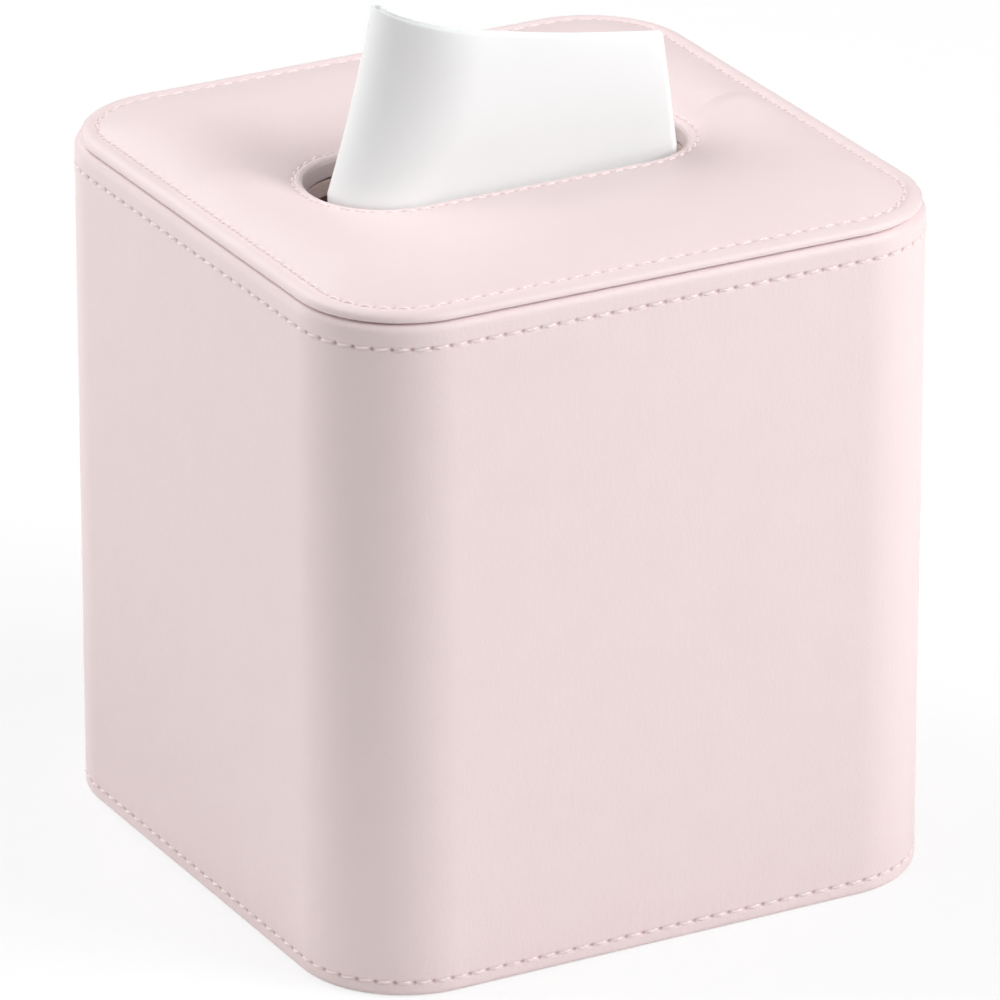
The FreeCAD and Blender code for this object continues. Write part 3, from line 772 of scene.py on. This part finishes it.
panelData = {
    "halfX": (panelHigh.x - panelLow.x) / 2,
    "halfY": (panelHigh.y - panelLow.y) / 2,
    "cornerRadius": 21.4 * mm,
    "rowRadius": 16.2 * mm,
    "boardRadius": 15.4 * mm,
    "boardInset": 3 * mm,
    "turnIn": 7 * mm,
    "middleY": -0.5 * mm,
    "seat": wallHigh.z + 0.05 * mm,
    "boardTop": trimHigh.z,
    "stitchInset": 3.9 * mm,
    "stitchLevel": 1.8 * mm,
    "rollHeight": 2.1 * mm,
    "rollCrest": 2.5 * mm,
    "rollWaist": 0.5 * mm,
    "rollUnder": 0.8 * mm,
    "rollSquareness": 1.05,
    "underSteps": 8,
    "crestSteps": 10,
    "fallSteps": 5,
    "channelHalf": 0.5 * mm,
    "channelSteps": 7,
    "pillowStart": 0.14 * mm,
    "threadLift": 0.03 * mm,
    # The pillow's height over a wide span, how fast it grows with the span, and how full its sides are
    "crown": 4.1 * mm,
    "crownSpan": 22 * mm,
    "crownCurve": 0.9,
    "crownSteps": 39,
    # Pulled folds beside the opening's ends: share is what they take off the crown
    "folds": (
        {"start": (43.5 * mm, 3.5 * mm), "heading": math.radians(-12), "length": 15 * mm,
         "behind": 3 * mm, "before": 7 * mm, "share": 0.95},
        {"start": (-36.5 * mm, 13.0 * mm), "heading": math.radians(118), "length": 24 * mm,
         "behind": 8 * mm, "before": 7 * mm, "share": 0.55},
    ),
    "foldFade": 1.5,
    "foldRunOut": 5 * mm,
    # The padding pushed up beside the right-hand fold
    "swell": {"place": (50.5 * mm, -2.5 * mm), "reach": 6.5 * mm, "height": 2.0 * mm},
    "opening": (39.1 * mm, 15 * mm, 14.8 * mm),
    "openingStitchOut": 2.0 * mm,
    "openingStitchLevel": 1.75 * mm,
    "lip": 0.2 * mm,
    "lipShare": 0.7,
    "lipInset": 0.25 * mm,
    "lipRound": 0.9 * mm,
    "lipSteps": 7,
    "skin": 0.5 * mm,
    "foamColumnStep": 4,
    "fill": 0.7,
    "stitches": 128,
    "openingStitches": 69,
    "perStitch": 8,
    "crowd": 0.55,
    "holeDepth": 0.16 * mm,
    "holeRadius": 0.34 * mm,
    # How far the panel's needle holes darken the leather: the split's own tone and painted shade in the holes
    "holeCoreAndShadeTone": 0.6,
}


def panelLoop(inset):
    # The panel's edge turns its corners more widely than the sewn row, and its back edge lies further in
    d = panelData
    turn = d["cornerRadius"] - inset / d["stitchInset"] * (d["cornerRadius"] - d["rowRadius"])
    return d["halfX"] - inset, d["halfY"] + d["middleY"] - inset, turn


def foldShare(x, y):
    # How much of the crown is left beside the folds that the opening's two ends pull into the leather
    d = panelData
    left = np.ones_like(x)
    for fold in d["folds"]:
        (startX, startY), turn = fold["start"], fold["heading"]
        along = (x - startX) * math.cos(turn) + (y - startY) * math.sin(turn)
        across = (y - startY) * math.cos(turn) - (x - startX) * math.sin(turn)
        width = np.where(across * math.cos(turn) > 0, fold["behind"], fold["before"])
        fade = np.clip(1 - np.clip(along, 0, None) / fold["length"], 0, 1) ** d["foldFade"]
        fade = fade * np.exp(-(np.clip(along, None, 0) / d["foldRunOut"]) ** 2)
        left = left * (1 - fold["share"] * fade * np.exp(-(across / width) ** 2))
    return left


def panelRows(shares):
    d = panelData
    base, inset, out, half = wallHigh.z, d["stitchInset"], d["openingStitchOut"], d["channelHalf"]
    stitchZ, openingZ = base + d["stitchLevel"], base + d["openingStitchLevel"]

    def fromFace(inward, height):
        return atHeight(loopPlaces(*panelLoop(inward), shares, d["middleY"])[0], height)

    def fromOpening(outward, height):
        return atHeight(loopPlaces(*grown(d["opening"], outward), shares)[0], height)

    roll = []
    waist, crest, rise = base + d["rollWaist"], d["rollCrest"], d["rollHeight"] - d["rollWaist"]
    for t in np.radians(np.linspace(-90, 0, d["underSteps"])):
        roll.append(fromFace(d["rollUnder"] * (1 - math.cos(t)), waist + (waist - d["seat"]) * math.sin(t)))
    for t in np.radians(np.linspace(0, 90, d["crestSteps"] + 1)[1:]):
        roll.append(fromFace(crest * (1 - math.cos(t)) ** d["rollSquareness"], waist + rise * math.sin(t)))
    # From its crest the roll falls softly to the channel
    for share in np.linspace(0, 1, d["fallSteps"] + 1)[1:-1]:
        fall = (d["rollHeight"] - d["stitchLevel"]) * math.sin(share * math.pi / 2) ** 2
        roll.append(fromFace(crest + (inset - half - crest) * share, base + d["rollHeight"] - fall))
    channel = []
    for s in np.linspace(-1, 1, d["channelSteps"]):
        side = 0.0 if s < 0 else d["pillowStart"]
        channel.append(fromFace(inset + s * half, stitchZ + side * s ** 2))
    outer, inner = fromFace(inset + half, 0)[:, :2], fromOpening(out + half, 0)[:, :2]
    # A pillow between the two rows, higher where they lie further apart
    width = np.linalg.norm(inner - outer, axis=1)
    height = d["crown"] * (1 - np.exp(-width / d["crownSpan"]))
    swell = d["swell"]
    crown = []
    for share in np.linspace(0, 1, d["crownSteps"] + 1)[1:-1]:
        flat = stitchZ + (openingZ - stitchZ) * share
        places = outer + (inner - outer) * share
        lift = height * (4 * share * (1 - share)) ** d["crownCurve"] * foldShare(places[:, 0], places[:, 1])
        near = np.exp(-(np.linalg.norm(places - swell["place"], axis=1) / swell["reach"]) ** 2)
        lift = lift + swell["height"] * near * math.sqrt(4 * share * (1 - share))
        crown.append(np.column_stack([places, flat + d["pillowStart"] + lift]))
    openingChannel = []
    for s in np.linspace(-1, 1, d["channelSteps"]):
        side = d["pillowStart"] if s < 0 else d["lip"] * d["lipShare"]
        openingChannel.append(fromOpening(out - s * half, openingZ + side * s ** 2))
    lip = []
    reach = out - half - d["lipInset"]
    for t in np.radians(np.linspace(90, 0, d["lipSteps"])):
        drop = d["lipRound"] * (1 - math.sin(t))
        lip.append(fromOpening(reach * (1 - math.cos(t)), openingZ + d["lip"] - drop))
    lip.append(fromOpening(0, d["boardTop"]))
    return roll, channel, crown, openingChannel, lip


def sinkHoles(rows, loop, stitches, shares, depth, radius, middleY=0.0):
    # Presses the needle holes of one stitch row into a stack of rows, and gives each point's share of a hole,
    # which also darkens the colour there as split and painted shade
    row = loopPlaces(*loop, shares, middleY)[0]
    phase = shares * stitches
    along = np.abs(phase - np.round(phase)) * loopLength(*loop) / stitches
    pierced = []
    for points in rows:
        apart = np.linalg.norm(points[:, :2] - row, axis=1)
        pierced.append(np.exp(-(along ** 2 + apart ** 2) / radius ** 2))
        points[:, 2] -= depth * pierced[-1]
    return pierced


def makePanel():
    d = panelData
    shares = crowdedShares(d["stitches"], d["perStitch"], d["crowd"])
    roll, channel, crown, openingChannel, lip = panelRows(shares)
    # The leather's underside, which is the foam's top too
    under = [np.column_stack([p[:, :2], p[:, 2] - d["skin"]]) for p in crown[1:-1:2]][::-1]
    faceLoop, ovalLoop = panelLoop(d["stitchInset"]), grown(d["opening"], d["openingStitchOut"])
    holes = d["holeDepth"], d["holeRadius"]
    faceHoles = sinkHoles(channel, faceLoop, d["stitches"], shares, *holes, d["middleY"])
    ovalHoles = sinkHoles(openingChannel, ovalLoop, d["openingStitches"], shares, *holes)
    pad = [atHeight(under[0][:, :2], d["boardTop"])] + under + [atHeight(under[-1][:, :2], d["boardTop"])]
    # Turned in round the board and glued under it
    boardLoop = d["halfX"] - d["boardInset"], d["halfY"] - d["boardInset"], d["boardRadius"]
    edge, deep = (loopPlaces(*grown(boardLoop, -inset), shares)[0] for inset in (0, d["turnIn"]))
    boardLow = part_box("panel_board")[0].z
    turned = [atHeight(edge, d["boardTop"]), atHeight(edge, boardLow)]
    turned += [atHeight(deep, boardLow), atHeight(deep, d["seat"])]
    rings = roll + channel + crown + openingChannel + lip + pad + turned
    leatherTop = closedGrid("panelLeatherTop", np.array(rings))
    pierced = np.zeros((len(rings), len(shares)), np.float32)
    pierced[len(roll):len(roll + channel)] = faceHoles
    first = len(roll + channel + crown)
    pierced[first:first + len(openingChannel)] = ovalHoles
    # The hole shares darken the leather's colour: the uncoated split and painted shade inside the needle holes
    marks = leatherTop.data.attributes.new("pierced", "FLOAT", "POINT")
    marks.data.foreach_set("value", (pierced * d["holeCoreAndShadeTone"]).ravel())
    finishPiece(leatherTop, "panel_leather", "cover", leather)

    foam = closedGrid("panelFoamPad", np.array([p[::d["foamColumnStep"]] for p in pad]))
    finishPiece(foam, "panel_foam", "cover", cutFoam)

    base = wallHigh.z + d["threadLift"]
    sewLoop("panelRow", "panel_stitches", faceLoop, base + d["stitchLevel"], d["stitches"], "cover",
            facing=(0, 0, 1), middleY=d["middleY"])
    sewLoop("openingRow", "opening_stitches", ovalLoop, base + d["openingStitchLevel"], d["openingStitches"],
            "cover", facing=(0, 0, 1))


makePanel()
print("padded panel and its rows made")


# Sheets with a thickness, built from their middle surface

def sheetMesh(name, middle, thickness):
    # middle is rows x columns of points; the two skins lie half a thickness to each side of it
    middle = np.asarray(middle, float)
    normals = np.cross(np.gradient(middle, axis=1), np.gradient(middle, axis=0))
    normals /= np.linalg.norm(normals, axis=2, keepdims=True)
    rows, columns = middle.shape[:2]
    skins = np.concatenate([(middle + normals * thickness / 2).reshape(-1, 3),
                            (middle - normals * thickness / 2).reshape(-1, 3)])
    corner = np.arange(rows * columns).reshape(rows, columns)
    quads = np.stack([corner[:-1, :-1], corner[:-1, 1:], corner[1:, 1:], corner[1:, :-1]], -1).reshape(-1, 4)
    faces = quads.tolist() + (quads[:, ::-1] + rows * columns).tolist()
    rim = np.concatenate([corner[0, :-1], corner[:-1, -1], corner[-1, :0:-1], corner[:0:-1, 0]])
    following = np.roll(rim, -1)
    across = rows * columns
    faces += np.stack([following, rim, rim + across, following + across], -1).tolist()
    return meshObject(name, skins.tolist(), faces)


# Tissue

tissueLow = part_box("tissue_sheet")[0]

tissueData = {
    "ply": 0.25 * mm,
    "foldGap": 2.1 * mm,
    "frontAtRim": -13.9 * mm,
    "frontAtCrest": -10.0 * mm,
    # At the rim, at the middle share and at the crest: where the bend starts, and its two radii
    "middleShare": 0.43,
    "bendX": (-24.7 * mm, -11.8 * mm, -10.5 * mm),
    "nearRadius": (13.0 * mm, 19.0 * mm, 16.5 * mm),
    "farRadius": (9.3 * mm, 10.9 * mm, 8.2 * mm),
    "nearTurn": math.radians(47),
    "farTurn": math.radians(58),
    # How far the front layer stands off square, and how much it curls towards its right end
    "swing": math.radians(3),
    "curl": (math.radians(2), math.radians(5), math.radians(8)),
    "rightAtRim": 33.6 * mm,
    "rightAtCrest": 30.5 * mm,
    # The cut edge's height over the rim at the left end, in the middle and at the right end of this reach
    "cutReach": 40 * mm,
    "leftRise": 38.0 * mm,
    "middleRise": 28.0 * mm,
    "rightRise": 20.4 * mm,
    "backReach": 0.9 * mm,
    "backRun": 10 * mm,
    "flatColumns": 44,
    "nearColumns": 30,
    "farColumns": 26,
    "foldColumns": 11,
    "plans": 41,
    "rows": 56,
    "cutTries": 12,
    "waveHeight": 0.2 * mm,
    "waveStart": 20 * mm,
    # Two waves: length over a turn's radian, change with height, share
    "waves": ((9 * mm, 2.2, 1.0), (4.7 * mm, -3.1, 0.6)),
}


def through(values, share):
    # A smooth curve through the values at the rim, at the middle share and at the crest
    low, middle, high = values
    m = tissueData["middleShare"]
    bow = ((middle - low) - (high - low) * m) / (m * m - m)
    return low + (high - low - bow) * share + bow * share ** 2


def tissuePlan(share):
    # Plan of the doubled sheet at one height: front layer from right to left, bend, fold, back layer
    d = tissueData
    frontY = d["frontAtRim"] + (d["frontAtCrest"] - d["frontAtRim"]) * share
    right = d["rightAtRim"] + (d["rightAtCrest"] - d["rightAtRim"]) * share
    startX, near, far, curl = (through(d[k], share) for k in ("bendX", "nearRadius", "farRadius", "curl"))
    nearTurn, farTurn, swing = d["nearTurn"], d["farTurn"], d["swing"]
    flat, nearArc, farArc = d["flatColumns"], d["nearColumns"], d["farColumns"]
    run = (right - startX) * np.linspace(1, 0, flat)
    # Headings along the front layer, as the angle that its outward normal has turned from the front
    headings = np.concatenate([
        -swing - curl * np.linspace(1, 0, flat),
        -swing + np.linspace(0, nearTurn + swing, nearArc)[1:],
        nearTurn + np.linspace(0, farTurn, farArc)[1:],
    ])
    steps = np.concatenate([
        np.abs(np.diff(run)),
        np.full(nearArc - 1, near * nearTurn / (nearArc - 1)),
        np.full(farArc - 1, far * farTurn / (farArc - 1)),
    ])
    middleHeading = (headings[:-1] + headings[1:]) / 2
    moves = np.column_stack([-np.cos(middleHeading), np.sin(middleHeading)]) * steps[:, None]
    front = np.concatenate([[(0, 0)], np.cumsum(moves, 0)])
    front += (startX, frontY) - front[flat - 1]
    inwards = np.column_stack([np.sin(headings), np.cos(headings)])
    gap = d["foldGap"]
    back = front + inwards * gap
    back[:, 0] += d["backReach"] * np.clip((back[:, 0] - right + d["backRun"]) / d["backRun"], 0, 1)
    tip = (front[-1] + back[-1]) / 2
    angles = headings[-1] + np.radians(np.linspace(0, 180, d["foldColumns"] + 2)[1:-1])
    fold = tip - gap / 2 * np.column_stack([np.sin(angles), np.cos(angles)])
    return np.concatenate([front, fold, back[::-1]])


def makeTissue():
    d = tissueData
    tail, rimZ = tissueLow.z, wallHigh.z + panelData["stitchLevel"]
    crestZ = rimZ + d["leftRise"]
    stack = np.array([tissuePlan(share) for share in np.linspace(0, 1, d["plans"])])

    def placesAt(z):
        # Places in the stack of plans, one column each, at the columns' own heights
        where = np.clip((z - rimZ) / (crestZ - rimZ), 0, 1) * (len(stack) - 1)
        lower = np.minimum(where.astype(int), len(stack) - 2)
        column = np.arange(stack.shape[1])
        part = (where - lower)[:, None]
        return stack[lower, column] * (1 - part) + stack[lower + 1, column] * part

    def cutHeight(x):
        # The sheet's cut edge, through its three heights
        share = x / d["cutReach"]
        bow = (d["leftRise"] + d["rightRise"]) / 2 - d["middleRise"]
        return rimZ + d["middleRise"] + (d["rightRise"] - d["leftRise"]) / 2 * share + bow * share ** 2

    # Each column is cut where it meets the edge, found by trying again from the last height
    top = np.full(stack.shape[1], crestZ)
    for step in range(d["cutTries"]):
        top = cutHeight(placesAt(top)[:, 0])
    rows = []
    for level in np.linspace(0, 1, d["rows"]):
        z = tail + (top - tail) * level
        x, y = placesAt(z).T
        wave = sum(share * np.sin(x / length + level * change) for length, change, share in d["waves"])
        sway = d["waveHeight"] * level * wave * np.clip((x + d["waveStart"]) / d["waveStart"], 0, 1)
        rows.append(np.column_stack([x, y + sway, z]))
    sheet = sheetMesh("tissueSheetPulled", rows, d["ply"])
    finishPiece(sheet, "tissue_sheet", "tissue", tissuePaper)


makeTissue()
print("tissue made")


# Bands and linings built ring by ring

nap = np.random.default_rng(11)


def bandGrid(name, loop, section, columns, napHeight=0.0):
    # section is a closed list of (outward place, height)
    shares = np.arange(columns) / columns
    rows = []
    for out, height in section:
        rough = nap.uniform(-1, 1, columns)[:, None] * napHeight
        places, outwards = loopPlaces(*grown(loop, out), shares)
        rows.append(atHeight(places + outwards * rough, height))
    return closedGrid(name, np.array(rows))


# Opening trim, ceiling lining and wall lining

insideData = {
    "trim": 0.6 * mm,
    "trimSlope": 0.3 * mm,
    "trimRound": 0.28 * mm,
    "trimSteps": 8,
    "trimColumns": 280,
    "collar": 2.0 * mm,
    "collarSteps": 9,
    "boardHoleX": 40 * mm,
    "flannel": 0.5 * mm,
    "ceilingRadius": 17.5 * mm,
    "ceilingRings": 24,
    "wallRadius": 18.4 * mm,
    "nap": 0.05 * mm,
    "napRows": 44,
    "napColumns": 360,
}


def makeTrim():
    # The band leans in a little towards its lower edge
    d = insideData
    edge, low, top, lean = d["trimRound"], trimLow.z, trimHigh.z, d["trimSlope"]
    section = [(-lean * math.sin(s * math.pi / 2), top + (low + edge - top) * s)
               for s in np.linspace(0, 1, d["trimSteps"])]
    section += arcPoints((edge - lean, low + edge), edge, 180, 270, 5)[1:]
    section += arcPoints((d["trim"] - edge, low + edge), edge, 270, 360, 5)
    section += [(d["trim"], top)]
    trim = bandGrid("openingTrimBand", panelData["opening"], section, d["trimColumns"])
    finishPiece(trim, "opening_trim", "cover", leather)


def makeCeilingLining():
    d = insideData
    low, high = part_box("ceiling_lining")
    opening, edge = panelData["opening"], d["trimRound"]
    columns = np.arange(d["napColumns"]) / d["napColumns"]
    behindLoop = (d["boardHoleX"] + d["trim"], opening[1] + d["trim"], opening[2] + d["trim"])
    outer, inner, behind, collar = (
        loopPlaces(*loop, columns)[0] for loop in
        ((high.x, high.y, d["ceilingRadius"]), opening, behindLoop, grown(opening, d["flannel"])))
    plate = low.z + d["flannel"]
    rings = [atHeight(outer, plate)]
    for share in np.linspace(0, 1, d["ceilingRings"]):
        rough = 0 if share in (0, 1) else np.abs(nap.uniform(-1, 1, len(columns))) * d["nap"]
        rings.append(atHeight(outer + (collar - outer) * share, low.z + rough))
    # The cloth is turned down as a short collar round the opening
    foot = low.z - d["collar"]
    rings += [atHeight(collar, foot), atHeight(inner, foot)]
    rings += [atHeight(inner, z) for z in np.linspace(foot, high.z - edge, d["collarSteps"] + 1)[1:]]
    rings.append(atHeight(inner + (behind - inner) * 0.2, high.z - edge * 0.2))
    rings += [atHeight(inner + (behind - inner) * 0.6, high.z), atHeight(behind, high.z - edge)]
    rings.append(atHeight(behind, plate))
    lining = closedGrid("ceilingLiningCloth", np.array(rings))
    finishPiece(lining, "ceiling_lining", "cover", flannelette)


def makeWallLining():
    d = insideData
    low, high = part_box("wall_lining")
    loop = (high.x, high.y, d["wallRadius"])
    section = [(-d["flannel"], z) for z in np.linspace(low.z, high.z, d["napRows"])]
    section += [(0, high.z), (0, low.z)]
    lining = bandGrid("wallLiningCloth", loop, section, d["napColumns"])
    finishPiece(lining, "wall_lining", "cover", flannelette)


makeTrim()
makeCeilingLining()
makeWallLining()
print("opening trim and linings made")


# Bottom flap: its leather, stitch row, lining and ribbon, and the leather hinge

flapLow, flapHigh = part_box("flap_leather")

flapData = {
    "cornerRadius": 17.0 * mm,
    "leastRadius": 0.5 * mm,
    "skin": 0.8 * mm,
    "turnSkin": 0.5 * mm,
    "turnWidth": 10.8 * mm,
    "edgeRound": 0.9 * mm,
    # Insets of the rings on the outer face, on the turned-in edge and on the side towards the board
    "faceInsets": (54 * mm, 46 * mm, 38 * mm, 30 * mm, 22 * mm, 15 * mm, 9 * mm, 5.5 * mm),
    "turnInsets": (4 * mm, 7 * mm, 10 * mm),
    "boardInsets": (15 * mm, 35 * mm, 54 * mm),
    "stitchInset": 3.5 * mm,
    "grooveHalf": 0.7 * mm,
    "grooveDepth": 0.4 * mm,
    "grooveSteps": 9,
    "holeDepth": 0.45 * mm,
    "holeRadius": 0.34 * mm,
    "threadLift": 0.05 * mm,
    "stitches": 116,
    "perStitch": 6,
    "crowd": 0.5,
}


def makeFlapLeather():
    d = flapData
    low, high, edge = flapLow.z, flapHigh.z, d["edgeRound"]
    middleY = (flapLow.y + flapHigh.y) / 2
    loop = ((flapHigh.x - flapLow.x) / 2, (flapHigh.y - flapLow.y) / 2, d["cornerRadius"])
    shares = crowdedShares(d["stitches"], d["perStitch"], d["crowd"])

    def ring(inset, height):
        halfX, halfY, radius = grown(loop, -inset)
        return atHeight(loopPlaces(halfX, halfY, max(radius, d["leastRadius"]), shares, middleY)[0], height)

    groove = [ring(d["stitchInset"] + s * d["grooveHalf"],
                   low + d["grooveDepth"] * math.cos(s * math.pi / 2) ** 2)
              for s in np.linspace(1, -1, d["grooveSteps"])]
    rowLoop = grown(loop, -d["stitchInset"])
    sinkHoles(groove, rowLoop, d["stitches"], shares, -d["holeDepth"], d["holeRadius"], middleY)
    rings = [ring(inset, low) for inset in d["faceInsets"]] + groove
    rings += [ring(-out, z) for out, z in arcPoints((-edge, low + edge), edge, -90, 0, 6)]
    rings += [ring(-out, z) for out, z in arcPoints((-edge, high - edge), edge, 0, 90, 6)]
    rings += [ring(inset, high) for inset in (*d["turnInsets"], d["turnWidth"])]
    rings += [ring(inset, high - d["turnSkin"]) for inset in (d["turnWidth"], d["skin"])]
    rings += [ring(inset, low + d["skin"]) for inset in (d["skin"], *d["boardInsets"])]
    wrap = closedGrid("flapLeatherWrap", rings, capped=True)
    finishPiece(wrap, "flap_leather", "flap", leather)
    sewLoop("flapRow", "flap_stitches", rowLoop, low - d["threadLift"], d["stitches"], "flap",
            facing=(0, 0, -1), middleY=middleY)


flapLiningData = {
    "columns": 90,
    "cornerRadius": 6.2 * mm,
    "level": 0.22 * mm,
    "nap": 0.04 * mm,
    "cloth": 0.4 * mm,
}


def makeFlapLining():
    # A flat sheet with round corners, its nap drawn as fine unevenness
    d = flapLiningData
    low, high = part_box("flap_lining")
    count, corner = d["columns"], d["cornerRadius"]
    x, y = (np.linspace(low[axis], high[axis], count) for axis in (0, 1))
    centre = np.array((low + high) / 2)[:2]
    half = np.array(high)[:2] - centre - corner
    local = np.stack(np.meshgrid(x, y, indexing="xy"), -1) - centre
    beyond = np.clip(np.abs(local) - half, 0, None)
    length = np.maximum(np.linalg.norm(beyond, axis=-1), 1e-9)[..., None]
    pulled = np.where(length > corner, beyond * corner / length, beyond)
    local = np.sign(local) * (np.minimum(np.abs(local), half) + pulled)
    sheet = np.concatenate([local + centre, np.full((count, count, 1), low.z + d["level"])], -1)
    sheet[1:-1, 1:-1, 2] += nap.uniform(-1, 1, (count - 2, count - 2)) * d["nap"]
    lining = sheetMesh("flapLiningCloth", sheet, d["cloth"])
    finishPiece(lining, "flap_lining", "flap", flannelette)


ribbonData = {
    "columns": 9,
    "rows": 132,
    "ribPitch": 1.0 * mm,
    "ribHeight": 0.05 * mm,
    "cloth": 0.28 * mm,
}


def makeRibbon():
    # Ribbed across its length
    d = ribbonData
    low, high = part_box("pull_tab")
    x, y = np.linspace(low.x, high.x, d["columns"]), np.linspace(low.y, high.y, d["rows"])
    ribs = d["ribHeight"] * np.cos(2 * math.pi * y / d["ribPitch"])
    heights = np.repeat(((low.z + high.z) / 2 + ribs)[:, None, None], len(x), 1)
    strip = np.concatenate([np.stack(np.meshgrid(x, y, indexing="xy"), -1), heights], -1)
    tab = sheetMesh("ribbonTab", strip, d["cloth"])
    finishPiece(tab, "pull_tab", "flap", ribbon)


hingeData = {
    "columns": 43,
    # Heights of the strip's outline down its outer side and up its inner side, between its top and its foot
    "outerHeights": (9 * mm, 4 * mm, 2.1 * mm),
    "innerHeights": (1.9 * mm, 4 * mm, 9 * mm),
    # The foot's outline: places behind the flap's rear edge, and heights
    "foot": ((0.85 * mm, 1.6 * mm), (0.66 * mm, 1.2 * mm), (0.36 * mm, 0.92 * mm), (0.0, 0.82 * mm),
             (-0.3 * mm, 0.8 * mm), (-0.3 * mm, 1.25 * mm), (0.0, 1.28 * mm), (0.12 * mm, 1.5 * mm)),
    "bendStart": 1.7 * mm,
    "bendEnd": 0.95 * mm,
}


def makeHinge():
    # A strip glued inside the wall whose foot curls down to the flap's rear edge
    d = hingeData
    low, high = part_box("hinge_strip")
    rear = flapHigh.y
    outline = [(high.y, z) for z in (high.z, *d["outerHeights"])]
    outline += [(rear + out, z) for out, z in d["foot"]]
    outline += [(low.y, z) for z in (*d["innerHeights"], high.z)]
    rows = [[(x, y, z) for y, z in outline] for x in np.linspace(low.x, high.x, d["columns"])]
    hinge = closedGrid("hingeLeather", rows, capped=True)
    useMaterial(hinge, leather)
    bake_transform(hinge)
    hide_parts("hinge_strip")


makeFlapLeather()
makeFlapLining()
makeRibbon()
makeHinge()
print("flap made")


# Carried-over pieces keep their shape and get their finish

finishes = {
    "wall_board": greyboard, "ceiling_board": greyboard, "panel_board": greyboard, "flap_board": greyboard,
    "front_ledge": greyboard, "flap_magnets": nickel, "ledge_magnets": nickel,
}
for nodeName, finish in finishes.items():
    useMaterial(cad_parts[nodeName], finish)
